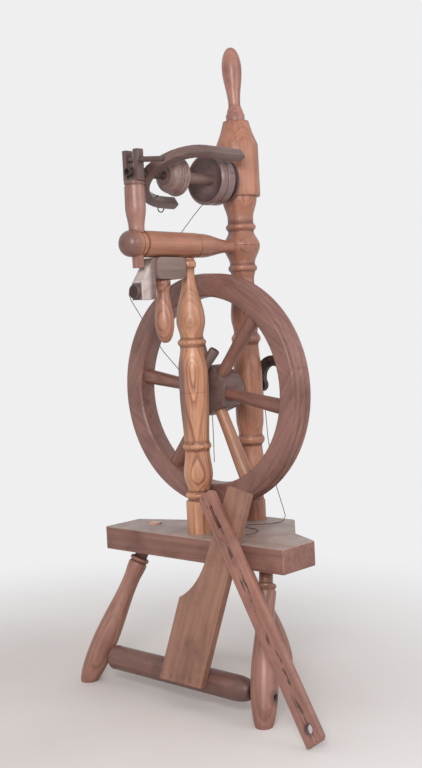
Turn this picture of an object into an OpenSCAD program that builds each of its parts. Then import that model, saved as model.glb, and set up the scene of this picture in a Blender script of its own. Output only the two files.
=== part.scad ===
/* [Table] */
// Height of the table's top above the floor
table_top = 274; // [260:1:290]
// Thickness of the table plank
table_t = 41; // [34:1:46]
// Table's reach to the left of the posts
table_left = 200; // [190:1:220]
// Table's reach to the right of the posts
table_right = 215; // [205:1:240]
// Table's front edge, forward of the wheel's plane
table_front = 90; // [86:1:96]
// Table's back edge, behind the wheel's plane
table_back = 124; // [120:1:130]
// Half-width of the tongue under the rear post
tongue_half = 70; // [60:1:76]

/* [Legs] */
// Radius of a leg's tenon in the table
leg_tenon_r = 10.5; // [9:0.5:12]
// Largest radius of a leg, low on its swell
leg_swell_r = 22.5; // [20:0.5:24]
// Radius of a leg near the floor
leg_foot_r = 13.5; // [12.5:0.5:17]
// Depth of a blind leg socket in the table
blind_socket = 16; // [12:1:17]

/* [Wheel] */
// Outer diameter of the wheel
wheel_d = 406; // [390:1:420]
// Width of the rim, measured along a spoke
rim_w = 40; // [34:1:46]
// Thickness of the rim along the axle
rim_t = 38; // [32:1:40]
// Depth of each band groove in the tread
groove_deep = 6; // [3:0.5:8]
// Largest radius of a spoke
spoke_r = 13; // [11:0.5:15]
// Radius of a spoke's tenon
spoke_tenon_r = 7; // [5:0.5:8]
// Depth of a spoke's tenon
spoke_tenon = 13; // [9:1:15]
// Hub, from its middle to a flat
hub_flat = 39; // [35:0.5:42]
// Radius of the axle
axle_r = 7; // [6:0.25:8]
// Room between the rim and the table
wheel_clear = 40; // [36:1:50]
// Radius of a dowel between two rim pieces
dowel_r = 4; // [3:0.5:5]
// Length of a dowel between two rim pieces
dowel_len = 34; // [24:1:40]

/* [Posts] */
// Front post's axis, forward of the wheel's plane
front_post_y = 47; // [46:0.5:50]
// Rear post's axis, behind the wheel's plane
rear_post_y = 95; // [92:0.5:98]
// Largest radius of the front post
front_post_r = 25.5; // [22:0.5:26]
// Largest radius of the rear post's plain length
rear_post_r = 26; // [24:0.5:27]
// Radius of the barrel that holds the spindle's rear end
barrel_r = 38; // [36:0.5:40]
// Radius of a post's tenon in the table
post_tenon_r = 14; // [12:0.5:16]
// Length of a post's tenon in the table
post_tenon = 16; // [12:1:17]
// Length of the turned handle on the rear post
handle_len = 132; // [120:1:145]
// Largest radius of that handle
handle_r = 17.6; // [15:0.1:19]

/* [Arm and maiden] */
// Radius of the arm
arm_r = 22; // [20:0.5:23]
// Arm's reach forward of the wheel's plane
arm_reach = 195; // [191:1:205]
// Room between the rim and the underside of the arm
arm_clear = 26; // [24:1:34]
// Maiden's axis, forward of the wheel's plane
maiden_y = 163; // [160:1:168]
// Largest radius of the maiden
maiden_r = 17; // [15.5:0.5:18.5]
// Height of the spindle above the arm's axis
flyer_rise = 115; // [110:1:122]

/* [Flyer and bobbin] */
// Radius of the spindle at its front journal
spindle_r = 7; // [6.5:0.25:8]
// Radius of the orifice that takes the yarn
orifice_r = 4.5; // [3.5:0.25:5]
// Depth of the orifice
orifice_deep = 36; // [28:1:44]
// Half-width of the flyer bow to the middle of an arm
bow_half = 63.5; // [60:0.5:68]
// Width of a flyer arm
bow_w = 15; // [13:1:18]
// Thickness of the flyer bow
bow_t = 15; // [14.5:0.5:18]
// Tilt of the flyer bow at rest
bow_tilt = 35; // [0:1:60]
// Radius of the bobbin's barrel
bobbin_r = 9; // [8.5:0.25:10]
// Largest radius of the bobbin's front end
bell_r = 35; // [32:0.5:38]
// Largest radius of the bobbin's whorl
whorl_r = 44; // [40:0.5:45]

/* [Tension] */
// Hand screw's axis, forward of the wheel's plane
screw_y = 110; // [107:1:113]
// Largest radius of the hand screw
screw_r = 16.2; // [14:0.1:18]
// Length of the hand screw below the bracket
screw_len = 105; // [94:1:114]
// Height of the bracket's block
block_h = 36; // [32:1:40]
// Thickness of the bracket's tongue
tongue_t = 22; // [18:1:26]
// Radius of the tension peg's head
peg_r = 12; // [10.5:0.5:12]

/* [Treadle and footman] */
// Radius of the treadle bar
bar_r = 21; // [18:0.5:22]
// Height of the treadle bar above the floor
bar_z = 44; // [40:1:50]
// Treadle bar's axis, forward of the wheel's plane
bar_y = 113.5; // [112:0.5:116]
// Radius of the pins that the bar swings on
pin_r = 5; // [4:0.25:6]
// Width of the treadle board's foot rest
board_w = 92; // [86:1:100]
// Width of the treadle board's tail at its end
board_tail_w = 46; // [40:1:52]
// Length of the treadle board
board_len = 338; // [320:1:350]
// Thickness of the treadle board
board_t = 13; // [11:0.5:15]
// Width of the footman
footman_w = 35; // [30:1:38]
// Thickness of the footman
footman_t = 10; // [8:0.5:12]
// Length of the footman
footman_len = 433; // [420:1:445]
// Radius of the round hole in the footman
footman_hole_r = 7.5; // [6:0.25:9]

/* [Clearances] */
// Gap round a shaft that turns
run_gap = 0.06; // [0.02:0.01:0.1]
// Gap round a tenon or peg that stays put
seat_gap = 0.1; // [0.05:0.01:0.2]
// Gap between pieces that lean on each other
lean_gap = 0.35; // [0.3:0.05:0.6]

/* [Hidden] */
$fn = 64;

// Middle of the footprint, measured from the floor under the wheel's hub
footprint_mid = [52.5, -16.5];

// Colours of the woods and metals
ruddy_wood = "#b2735a";
pale_wood = "#bf855f";
dark_wood = "#87605a";
dusky_wood = "#6e5a57";
iron_black = "#3a3434";
hide_grey = "#6a625c";
cord_grey = "#575049";

// Heights that the sizes above settle
table_under = table_top - table_t;
wheel_r = wheel_d / 2;
axle_z = table_top + wheel_clear + wheel_r;
arm_z = axle_z + wheel_r + arm_clear + arm_r;
arm_under = arm_z - arm_r;
flyer_z = arm_z + flyer_rise;
shoulder_z = flyer_z + 108;

// Steps in a smooth swell and in a round bead
swell_steps = 8;
bead_steps = 6;

// A turned outline is a list of rows, each with a height and a radius. A row of two is reached in a straight
// line, one that ends in "swell" by a smooth curve, in "rise" or "dome" by a quarter of an oval that leaves or
// closes the axis, and one that ends in a size by a bead, or a cove below 0
function eased(shape, t) =
    shape == "rise" ? [1 - cos(90 * t), sin(90 * t)]
    : shape == "dome" ? [sin(90 * t), 1 - cos(90 * t)]
    : [t, (1 - cos(180 * t)) / 2];

function stretch(a, b) =
    len(b) == 2 ? [[b[1], b[0]]]
    : is_string(b[2]) ? [
        for (i = [1:swell_steps])
            let (t = i / swell_steps, part = eased(b[2], t))
            [a[1] + (b[1] - a[1]) * part[1], a[0] + (b[0] - a[0]) * part[0]]
    ]
    : [
        for (i = [1:bead_steps])
            let (t = 180 * i / bead_steps, s = (1 - cos(t)) / 2)
            [a[1] + (b[1] - a[1]) * s + b[2] * sin(t), a[0] + (b[0] - a[0]) * s]
    ];

function outline(rows) = concat(
    [[0, rows[0][0]], [rows[0][1], rows[0][0]]],
    [for (i = [1:len(rows) - 1]) each stretch(rows[i - 1], rows[i])],
    [[0, rows[len(rows) - 1][0]]]
);

module turned(rows) {
    rotate_extrude() polygon(outline(rows));
}

// Sets the model down with the middle of its footprint at the origin
module stand() {
    translate([-footprint_mid[0], -footprint_mid[1], 0]) children();
}

// Turns the +Z of what follows to point along +Y
module along_y() {
    rotate([-90, 0, 0]) children();
}

// Turn of a raked piece or a cross hole about its own length
quarter = 50;

// Puts a length that is drawn up +Z from the origin on the line from one point towards another
module between(from, to) {
    d = to - from;
    translate(from)
        rotate([0, acos(d[2] / norm(d)), atan2(d[1], d[0])])
            rotate([0, 0, quarter])
                children();
}

// A block wide enough to trim any piece, above or below a height
trim = 900;
module above(z) {
    translate([-trim / 2, -trim / 2, z]) cube([trim, trim, trim]);
}
module below(z) {
    translate([-trim / 2, -trim / 2, z - trim]) cube([trim, trim, trim]);
}

// Legs: where each axis crosses the table's top and meets the floor
left_top = [-136, -27, table_top];
left_foot = [-211, -143, 0];
right_top = [132, -30, table_top];
right_foot = [195, -132, 0];
rear_top = [-24, 36, table_top];
rear_foot = [20, 140, 0];
tenon_proud = 2.5;
leg_extra = 30;

// How far down each leg's ring is below the plank
left_ring = 24;
right_ring = 35;
rear_ring = 30;

// Length of a leg's axis for each unit of height
function rake(top, foot) = norm(top - foot) / (top[2] - foot[2]);

module leg_tenon(top, foot, r) {
    k = rake(top, foot);
    between(foot, top) cylinder(r = r, h = (table_top + leg_extra) * k);
}

module leg_body(top, foot, ring) {
    k = rake(top, foot);
    len_under = table_under * k;
    ring_at = len_under - ring;
    between(foot, top) turned([
        [-leg_extra, leg_foot_r - 5],
        [-6, leg_foot_r - 5],
        [len_under * 0.28, leg_swell_r, "rise"],
        [ring_at - 40, 14.8, "swell"],
        [ring_at - 9, 17, "swell"],
        [ring_at - 6.5, 16.2],
        [ring_at - 5, 14.2],
        [ring_at - 3.5, 15],
        [ring_at + 3.5, 15, 2.4],
        [ring_at + 5, 11.6],
        [len_under + leg_extra, 11.3]
    ]);
}

// A leg, cut flat on the floor and against the plank, with a tenon that ends at the height given
module leg(top, foot, ring, tenon_top) {
    difference() {
        leg_body(top, foot, ring);
        below(0);
        above(table_under);
    }
    difference() {
        leg_tenon(top, foot, leg_tenon_r);
        below(table_under - 1);
        above(tenon_top);
    }
}

// Table: a thick plank, wide at the front, with a tongue at the back under the rear post
module table() {
    stand() color(dark_wood) difference() {
        translate([0, 0, table_under]) linear_extrude(table_t) polygon([
            [-table_left, -table_front],
            [table_right, -table_front],
            [table_right, -8],
            [tongue_half + 75, 28],
            [tongue_half, table_back],
            [-tongue_half, table_back],
            [-tongue_half - 38, 31],
            [-table_left, -6]
        ]);
        leg_tenon(left_top, left_foot, leg_tenon_r + seat_gap);
        difference() {
            union() {
                leg_tenon(right_top, right_foot, leg_tenon_r + seat_gap);
                leg_tenon(rear_top, rear_foot, leg_tenon_r + seat_gap);
            }
            above(table_under + blind_socket + seat_gap);
        }
        translate([0, -front_post_y, table_top - post_tenon - seat_gap])
            cylinder(r = post_tenon_r + seat_gap, h = post_tenon + 1);
        translate([0, rear_post_y, table_top - post_tenon - seat_gap])
            cylinder(r = post_tenon_r + seat_gap, h = post_tenon + 1);
    }
}

// Pin holes for the treadle bar run level through both front legs
left_bar_end = left_foot[0] + (left_top[0] - left_foot[0]) * bar_z / table_top;
right_bar_end = right_foot[0] + (right_top[0] - right_foot[0]) * bar_z / table_top;
bar_gap = 2.5;
bar_tip_r = pin_r + 4;
left_lean = bar_r * (left_top[0] - left_foot[0]) / table_top;
right_lean = bar_tip_r * (right_foot[0] - right_top[0]) / table_top;
bar_from = left_bar_end + leg_swell_r + left_lean + bar_gap;
bar_to = right_bar_end - leg_swell_r - right_lean - bar_gap;
pin_in_bar = 16;
pin_in_leg = 30;

module pin_hole(x, len) {
    translate([x, -bar_y, bar_z]) rotate([0, 90, 0]) cylinder(r = pin_r + run_gap, h = len);
}

module left_leg() {
    stand() color(dark_wood) difference() {
        leg(left_top, left_foot, left_ring, table_top + tenon_proud);
        pin_hole(bar_from - bar_gap - pin_in_leg - 1, pin_in_leg + 20);
    }
}

module right_leg() {
    stand() color(dark_wood) difference() {
        leg(right_top, right_foot, right_ring, table_under + blind_socket);
        pin_hole(bar_to - 10, 3 * leg_swell_r);
    }
}

module rear_leg() {
    stand() color(dark_wood) leg(rear_top, rear_foot, rear_ring, table_under + blind_socket);
}

// Axle bushes: one let into the back of the front post, one right through the rear post
bush_r = 11;
front_bush_from = -front_post_y - 8;
front_bush_to = -front_post_y + front_post_r - 4;
rear_bush_from = rear_post_y - rear_post_r + 2;
rear_bush_to = rear_post_y + rear_post_r - 2;

module bush_hole(from, to) {
    translate([0, from, axle_z]) along_y() rotate([0, 0, quarter])
        cylinder(r = bush_r + seat_gap, h = to - from);
}

module bush(from, to) {
    translate([0, from, axle_z]) along_y() difference() {
        cylinder(r = bush_r, h = to - from);
        translate([0, 0, -1]) cylinder(r = axle_r + run_gap, h = to - from + 2);
    }
}

module front_axle_bush() {
    stand() color(iron_black) bush(front_bush_from, front_bush_to);
}

module rear_axle_bush() {
    stand() color(iron_black) bush(rear_bush_from, rear_bush_to);
}

// Front post: turned, with a tenon at each end, and a line scored round it at the axle's height
post_top_tenon_r = 8;
post_top_tenon = 18;
score = 0.6;

module front_post() {
    stand() color(pale_wood) difference() {
        translate([0, -front_post_y, 0]) turned([
            [table_top - post_tenon, post_tenon_r],
            [table_top, post_tenon_r],
            [table_top, front_post_r - 2],
            [table_top + 54, front_post_r - 1.5],
            [table_top + 59, front_post_r - 6, "swell"],
            [table_top + 63, front_post_r - 3.5],
            [table_top + 70, front_post_r - 3.5, 1.6],
            [table_top + 73, front_post_r - 6.5],
            [table_top + 101, front_post_r - 0.5, "swell"],
            [table_top + 143, front_post_r - 4.2, "swell"],
            [table_top + 147, front_post_r - 2.4],
            [table_top + 154, front_post_r - 2.4, 1.6],
            [table_top + 158, front_post_r - 3.8],
            [axle_z - score, front_post_r, "swell"],
            [axle_z, front_post_r - score],
            [axle_z + score, front_post_r],
            [axle_z + 40, front_post_r],
            [axle_z + 78, front_post_r - 5, "swell"],
            [axle_z + 82, front_post_r - 2.6],
            [axle_z + 89, front_post_r - 2.6, 1.6],
            [axle_z + 93, front_post_r - 6],
            [axle_z + 122, front_post_r - 0.8, "swell"],
            [arm_under - 27, 10.5, "swell"],
            [arm_under - 18, 10.5],
            [arm_under - 15, 13],
            [arm_under - 6, 13, 0.8],
            [arm_under - 3, 11],
            [arm_under, 11],
            [arm_under, post_top_tenon_r],
            [arm_under + post_top_tenon, post_top_tenon_r]
        ]);
        bush_hole(front_bush_from - seat_gap, -front_post_y + front_post_r + 5);
    }
}

// Rear post: turned, with a ball that takes the arm and a barrel that takes the spindle
ball_r = 32.8;
arm_tenon_r = 9;
arm_tenon = 42;
handle_tenon_r = 8;
handle_tenon = 30;
spindle_socket = 32;
rear_bearing_r = 11;

// The handle leans a little to the left, on the middle of the post's top
handle_lean = 2.3;
module on_shoulder() {
    translate([0, rear_post_y, shoulder_z]) rotate([0, -handle_lean, 0]) children();
}

module rear_post() {
    stand() color(ruddy_wood) difference() {
        translate([0, rear_post_y, 0]) turned([
            [table_top - post_tenon, post_tenon_r],
            [table_top, post_tenon_r],
            [table_top, 21],
            [table_top + 34, 21],
            [table_top + 38, 18.5, "swell"],
            [table_top + 95, rear_post_r - 2, "swell"],
            [table_top + 136, 20, "swell"],
            [table_top + 140, 22.5],
            [table_top + 152, 22.5, 2.6],
            [table_top + 155, 21.5],
            [axle_z - 60, rear_post_r - 1, "swell"],
            [axle_z + 20, rear_post_r],
            [axle_z + 76, 22, "swell"],
            [axle_z + 80, 24],
            [axle_z + 92, 24, 2.4],
            [axle_z + 96, 21.5],
            [axle_z + 124, rear_post_r - 0.5, "swell"],
            [arm_z - 57, 19.5, "swell"],
            [arm_z - 45, 22, "swell"],
            [arm_z - 43, 24],
            [arm_z - 34, 24, 2],
            [arm_z - 31, 22.5],
            [arm_z + 2 - score, ball_r, "swell"],
            [arm_z + 2, ball_r - score],
            [arm_z + 2 + score, ball_r],
            [arm_z + 28, 23, "swell"],
            [arm_z + 31, 25],
            [arm_z + 39, 25, 2],
            [arm_z + 42, 23],
            [arm_z + 50, 23],
            [flyer_z - 29, 31, "swell"],
            [flyer_z - 26, 31],
            [flyer_z - 26, barrel_r - 1],
            [flyer_z - 22, barrel_r],
            [flyer_z + 66, barrel_r - 0.5],
            [flyer_z + 71, barrel_r - 2.5],
            [flyer_z + 88, 28.6],
            [flyer_z + 104, 24],
            [shoulder_z, 23]
        ]);
        bush_hole(rear_bush_from - 20, rear_bush_to + 20);
        translate([0, rear_post_y - ball_r - 5, arm_z])
            along_y() cylinder(r = arm_tenon_r + seat_gap, h = arm_tenon + 5 + seat_gap);
        translate([0, rear_post_y - barrel_r - 5, flyer_z])
            along_y() cylinder(r = rear_bearing_r + seat_gap, h = spindle_socket + 5);
        on_shoulder() translate([0, 0, -handle_tenon - seat_gap])
            cylinder(r = handle_tenon_r + seat_gap, h = handle_tenon + 5);
    }
}

// Handle: a turned grip plugged into the rear post's top, to carry the wheel by
handle_lift = 0.75;
module post_handle() {
    stand() color(ruddy_wood) on_shoulder() turned([
        [-handle_tenon, handle_tenon_r],
        [handle_lift, handle_tenon_r],
        [handle_lift, handle_r - 1.2],
        [11, handle_r - 0.6],
        [15, handle_r - 3],
        [30, handle_r - 6.8, "swell"],
        [handle_len - 38, handle_r, "swell"],
        [handle_len, 1.5, "dome"]
    ]);
}

// Arm: a turned bar from the rear post over the front post, with a domed front end
arm_len = arm_reach + rear_post_y - ball_r;
bead_at = arm_reach - maiden_y + maiden_r - 12;
waist_at = arm_reach - front_post_y + 20;
maiden_tenon_r = 9.8;

module arm() {
    stand() color(ruddy_wood) difference() {
        translate([0, -arm_reach, arm_z]) along_y() turned([
            [0, 3],
            [17, arm_r - 0.4, "rise"],
            [bead_at - 8, arm_r - 0.3],
            [bead_at - 7, arm_r - 2.4],
            [bead_at - 5, arm_r - 2.4],
            [bead_at + 3, arm_r - 2.2, 1.6],
            [bead_at + 5, arm_r - 2.4],
            [bead_at + 6, arm_r],
            [waist_at - 4, arm_r - 0.6],
            [waist_at - 3, arm_r - 2.2],
            [waist_at, arm_r - 2.2],
            [waist_at + 1, arm_r - 1.2],
            [waist_at + 12, arm_r - 1.4],
            [arm_len - 6, 11, "swell"],
            [arm_len + 1, 11],
            [arm_len + 1, arm_tenon_r],
            [arm_len + arm_tenon, arm_tenon_r]
        ]);
        translate([0, -maiden_y, arm_under - 5]) rotate([0, 0, quarter])
            cylinder(r = maiden_tenon_r + seat_gap, h = 2 * arm_r + 10);
        translate([0, -front_post_y, arm_under - 1])
            cylinder(r = post_top_tenon_r + seat_gap, h = post_top_tenon + 1 + seat_gap);
        translate([0, -screw_y, arm_under - 1]) cylinder(r = screw_shank_r + run_gap, h = screw_in_arm + 2);
    }
}

// Front maiden: turned, with a forked head that holds the spindle's leather bearing
fork_z = flyer_z - 13;
fork_top = flyer_z + 36;
fork_half = 18.5;
fork_deep = 15;
fork_slot = 16;
slot_floor = flyer_z - 11;
maiden_drop = 17;
keeper_r = 4.5;
keeper_z = flyer_z + 21;
keeper_len = 92;
keeper_slope = 7;

// The keeper peg slopes a little in its worn holes
module on_keeper() {
    translate([0, -maiden_y, keeper_z]) rotate([0, 90 + keeper_slope, 0])
        translate([0, 0, -fork_half - 2]) children();
}

module front_maiden() {
    stand() color(dark_wood) {
        translate([0, -maiden_y, 0]) difference() {
            turned([
                [arm_z, 13],
                [arm_z + arm_r + 2, 13],
                [arm_z + 59, maiden_r, "swell"],
                [fork_z - 9, maiden_r - 0.4],
                [fork_z - 8, maiden_r - 1.8],
                [fork_z - 7, maiden_r - 1.8],
                [fork_z - 2, maiden_r - 1, 1.4],
                [fork_z, maiden_r - 1.5]
            ]);
            translate([0, -2 * arm_r, arm_z]) along_y() cylinder(r = arm_r, h = 4 * arm_r);
        }
        translate([0, -maiden_y, arm_under - maiden_drop])
            cylinder(r = maiden_tenon_r, h = maiden_drop + 2 * arm_r + 5);
        difference() {
            translate([0, -maiden_y, fork_z - 1]) intersection() {
                cylinder(r = fork_half, h = fork_top - fork_z + 1);
                translate([-fork_half, -fork_deep / 2, 0]) cube([2 * fork_half, fork_deep, fork_top - fork_z + 1]);
            }
            translate([-fork_slot / 2, -maiden_y - fork_deep, slot_floor])
                cube([fork_slot, 2 * fork_deep, fork_top - slot_floor + 1]);
            on_keeper() translate([0, 0, -fork_half]) cylinder(r = keeper_r + seat_gap, h = 4 * fork_half);
        }
    }
}

// Front bearing: a block of stacked leather that sits in the fork
bearing_deep = 11;
bearing_h = 20;

module front_bearing() {
    stand() color(hide_grey) difference() {
        translate([-fork_slot / 2 + seat_gap, -maiden_y - bearing_deep / 2, slot_floor])
            cube([fork_slot - 2 * seat_gap, bearing_deep, bearing_h]);
        translate([0, -maiden_y - bearing_deep, flyer_z])
            along_y() cylinder(r = spindle_r + run_gap, h = 2 * bearing_deep);
    }
}

// Bearing keeper: a peg through both prongs that keeps the bearing and the spindle down
module bearing_keeper() {
    stand() color(dusky_wood) on_keeper() turned([
        [0, keeper_r - 1],
        [2, keeper_r],
        [keeper_len - 3, keeper_r],
        [keeper_len, keeper_r - 1.5]
    ]);
}

// Rear bearing: a leather-lined bush in the barrel
spindle_tail_r = 5;
rear_bearing_from = rear_post_y - barrel_r + 4;
rear_bearing_to = rear_post_y - barrel_r + spindle_socket;

module rear_bearing() {
    stand() color(hide_grey) translate([0, rear_bearing_from, flyer_z]) along_y() difference() {
        cylinder(r = rear_bearing_r, h = rear_bearing_to - rear_bearing_from);
        translate([0, 0, -1])
            cylinder(r = spindle_tail_r + run_gap, h = rear_bearing_to - rear_bearing_from + 2);
    }
}

// Tension bracket: a block under the arm with a tongue that drops forward to the peg
block_half = 17;
block_y = screw_y - 7;
block_deep = 66;
block_round = 9;
block_z = arm_under - block_h;
tongue_front = 170;
tongue_z = block_z - 33;
tongue_h = 27;
tongue_rear = block_y + block_deep / 2;
screw_shank_r = 8;
screw_in_arm = 24;
peg_shank_r = 6;
peg_shank = 26;

module tension_bracket() {
    stand() color(dusky_wood) difference() {
        union() {
            translate([-block_half, -block_y, block_z]) rotate([90, 0, 90]) linear_extrude(2 * block_half)
                hull() {
                    for (u = [-1, 1], v = [block_round, block_h - block_round])
                        translate([u * (block_deep / 2 - block_round), v]) circle(r = block_round, $fn = 32);
                }
            translate([-tongue_t / 2, 0, 0]) rotate([90, 0, 90]) linear_extrude(tongue_t) polygon([
                [-tongue_rear, tongue_z],
                [-tongue_front, tongue_z],
                [-tongue_front, tongue_z + tongue_h],
                [-block_y - block_deep / 2 - 4, arm_under - 1],
                [-block_y, arm_under - 1],
                [-block_y, block_z + block_round],
                [-tongue_rear, block_z + block_round]
            ]);
        }
        translate([0, -screw_y, block_z - 1]) cylinder(r = screw_shank_r + run_gap, h = block_h + 2);
        translate([0, -tongue_front - 1, tongue_z + tongue_h / 2])
            along_y() cylinder(r = peg_shank_r + run_gap, h = peg_shank + 2);
    }
}

// Hand screw: a turned grip whose shank goes up through the block into the arm
module hand_screw() {
    stand() color(pale_wood) translate([0, -screw_y, block_z - lean_gap]) rotate([180, 0, 0]) turned([
        [-block_h - screw_in_arm, screw_shank_r],
        [0, screw_shank_r],
        [0, 12.2],
        [2, 13.3],
        [11, 13.3],
        [14, 11.4],
        [21, 10.6, "swell"],
        [screw_len * 0.66, screw_r, "swell"],
        [screw_len, 2, "dome"]
    ]);
}

// Tension peg: a dark turned peg in the tongue's end that holds the brake cord
module tension_peg() {
    stand() color(iron_black) translate([0, -tongue_front - lean_gap, tongue_z + tongue_h / 2])
        along_y() mirror([0, 0, 1]) turned([
            [-peg_shank, peg_shank_r],
            [0, peg_shank_r],
            [0, peg_r - 1],
            [1.5, peg_r],
            [5.5, peg_r],
            [7.5, peg_r - 2.5, 0.5]
        ]);
}

// Wheel: four curved felloes doweled end to end, six spokes and a six-sided hub
felloe_count = 4;
spoke_count = 6;
hub_turn = -8;
joint_start = 10;
rim_in = wheel_r - rim_w;
band_half = 6;
band_at = 7;

// The spokes are set by eye, a few degrees off even spacing
spoke_turns = [-10, 50, 109, 171, 234, 295];
function spoke_angle(i) = spoke_turns[i];
function joint_angle(i) = joint_start + 360 / felloe_count * i;

// Turns and lifts what is drawn about +Z so that it spins about the axle
module on_axle() {
    translate([0, 0, axle_z]) rotate([90, 0, 0]) children();
}

// Six-sided block of the hub, drawn about +Z
module hub_block(flat, from, to) {
    translate([0, 0, from]) rotate([0, 0, hub_turn + 180 / spoke_count])
        cylinder(r = flat / cos(180 / spoke_count), h = to - from, $fn = spoke_count);
}

module spoke_tenon_at(i, gap) {
    rotate([0, 0, spoke_angle(i)]) rotate([0, 90, 0]) {
        translate([0, 0, hub_flat - spoke_tenon - gap])
            cylinder(r = spoke_tenon_r + gap, h = rim_in - hub_flat + 2 * spoke_tenon + 2 * gap);
    }
}

module dowel_at(i, gap) {
    rotate([0, 0, joint_angle(i)]) translate([wheel_r - rim_w * 0.55, -dowel_len / 2 - gap, 0])
        along_y() cylinder(r = dowel_r + gap, h = dowel_len + 2 * gap);
}

module felloe(i) {
    stand() color(dark_wood) on_axle() difference() {
        rotate([0, 0, joint_angle(i)]) rotate_extrude(angle = 360 / felloe_count, $fn = 128) polygon([
            [rim_in, -rim_t / 2 + 3],
            [rim_in + 3, -rim_t / 2],
            [wheel_r - 10, -rim_t / 2],
            [wheel_r - 8, -rim_t / 2 + 1.5],
            [wheel_r - 2, -rim_t / 2 + 1.5],
            [wheel_r, -band_at - band_half],
            [wheel_r - groove_deep, -band_at],
            [wheel_r, -band_at + band_half],
            [wheel_r, band_at - band_half],
            [wheel_r - groove_deep, band_at],
            [wheel_r, band_at + band_half],
            [wheel_r - 2, rim_t / 2 - 1.5],
            [wheel_r - 8, rim_t / 2 - 1.5],
            [wheel_r - 10, rim_t / 2],
            [rim_in + 3, rim_t / 2],
            [rim_in, rim_t / 2 - 3]
        ]);
        for (k = [0:spoke_count - 1]) spoke_tenon_at(k, seat_gap);
        for (k = [0:felloe_count - 1]) dowel_at(k, seat_gap);
    }
}

module rim_dowels() {
    stand() color(pale_wood) on_axle() for (k = [0:felloe_count - 1]) dowel_at(k, 0);
}

// Spoke: a turned bar with a tenon at each end, its shoulder cut to the curve of the rim
module spoke(i) {
    stand() color(ruddy_wood) on_axle() {
        spoke_tenon_at(i, 0);
        difference() {
            rotate([0, 0, spoke_angle(i)]) rotate([0, 90, 0]) turned([
                [hub_flat - 2, spoke_r - 2.5],
                [hub_flat + 12, spoke_r - 2.5],
                [rim_in + 2, spoke_r, "swell"]
            ]);
            translate([0, 0, -rim_t]) difference() {
                cylinder(r = wheel_r, h = 2 * rim_t);
                translate([0, 0, -1]) cylinder(r = rim_in - seat_gap, h = 2 * rim_t + 2, $fn = 128);
            }
            hub_block(hub_flat + seat_gap, -rim_t, rim_t);
        }
    }
}

// Hub: a six-sided block with a round collar and boss towards the rear post
hub_front = 14;
hub_rear = 30;
collar_r = 36;
collar_to = 42;
boss_r = 17;
boss_to = rear_post_y - rear_post_r - 3;

module hub() {
    stand() color(dusky_wood) translate([0, 0, axle_z]) difference() {
        union() {
            rotate([90, 0, 0]) hub_block(hub_flat, -hub_rear, hub_front);
            translate([0, hub_rear - 1, 0]) along_y() turned([
                [0, collar_r],
                [collar_to - hub_rear, collar_r, 1],
                [collar_to - hub_rear + 2, boss_r + 6],
                [boss_to - hub_rear - 6, boss_r, "swell"],
                [boss_to - hub_rear + 1, boss_r]
            ]);
        }
        translate([0, -hub_front - 1, 0]) along_y() cylinder(r = axle_r + seat_gap, h = hub_front + boss_to + 2);
        rotate([90, 0, 0]) for (k = [0:spoke_count - 1]) spoke_tenon_at(k, seat_gap);
    }
}

// Axle: an iron rod, blind in the front post and out through the rear post to the crank
axle_from = front_bush_from + 2;
crank_from = rear_post_y + rear_post_r + 6;
crank_t = 11;
crank_w = 19;
axle_to = crank_from + crank_t + 2;

module axle() {
    stand() color(iron_black) translate([0, axle_from, axle_z])
        along_y() cylinder(r = axle_r, h = axle_to - axle_from);
}

// Crank: flat iron that rises from the axle, bends over and comes down to the pin
crank_bend = 31;
crank_rise = 13;
crank_pin_r = 5;
crank_pin = 24;
crank_eye_drop = 4;

module crank() {
    stand() color(iron_black) translate([0, crank_from, axle_z]) difference() {
        union() {
            along_y() cylinder(r = crank_w / 2 + 3, h = crank_t);
            translate([-crank_w / 2, 0, 0]) cube([crank_w, crank_t, crank_rise]);
            translate([crank_bend, crank_t, crank_rise]) rotate([90, 0, 0])
                rotate_extrude(angle = 180) translate([crank_bend - crank_w / 2, 0]) square([crank_w, crank_t]);
            translate([2 * crank_bend - crank_w / 2, 0, crank_rise - crank_eye_drop])
                cube([crank_w, crank_t, crank_eye_drop]);
            translate([2 * crank_bend, 0, crank_rise - crank_eye_drop]) {
                along_y() cylinder(r = crank_w / 2, h = crank_t);
                along_y() cylinder(r = crank_pin_r, h = crank_t + crank_pin);
            }
        }
        translate([0, -1, 0]) along_y() cylinder(r = axle_r + seat_gap, h = crank_t + 2);
    }
}

// Flyer bow: a bent bow on the spindle, with one arm longer than the other
bow_front = 139;
bow_curve = 95;
bow_long_to = 46;
bow_short_to = 20;
bow_wall = 18;
bow_steps = 10;

// Points of half an oval across the bow, from one arm round its front to the other
function bow_arc(half, deep) = [
    for (i = [0:2 * bow_steps])
        let (a = -90 + 90 * i / bow_steps)
        [half * sin(a), -bow_front + bow_curve - deep * cos(a)]
];
function reversed(list) = [for (i = [len(list) - 1:-1:0]) list[i]];

module on_spindle() {
    translate([0, 0, flyer_z]) rotate([0, -bow_tilt, 0]) children();
}

module flyer_bow() {
    out = bow_half + bow_w / 2;
    in = bow_half - bow_w / 2;
    nip = 3;
    stand() color(dusky_wood) on_spindle() difference() {
        translate([0, 0, -bow_t / 2]) linear_extrude(bow_t) polygon(concat(
            [[-in, -bow_short_to], [-in - nip, -bow_short_to + nip], [-out + nip, -bow_short_to + nip]],
            [[-out, -bow_short_to]],
            bow_arc(out, bow_curve),
            [[out, bow_long_to - nip], [out - nip, bow_long_to], [in + nip, bow_long_to]],
            [[in, bow_long_to - nip]],
            reversed(bow_arc(in, bow_curve - bow_wall))
        ));
        translate([0, -bow_front - 5, 0]) along_y() cylinder(r = spindle_r + seat_gap, h = bow_wall + 30);
    }
}

// Spindle: iron, with the orifice in its front end
spindle_front = maiden_y + fork_deep;
spindle_step = bow_front - bow_wall - 12;
spindle_mid_r = 6;
spindle_rear = rear_bearing_to - 3;

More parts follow.
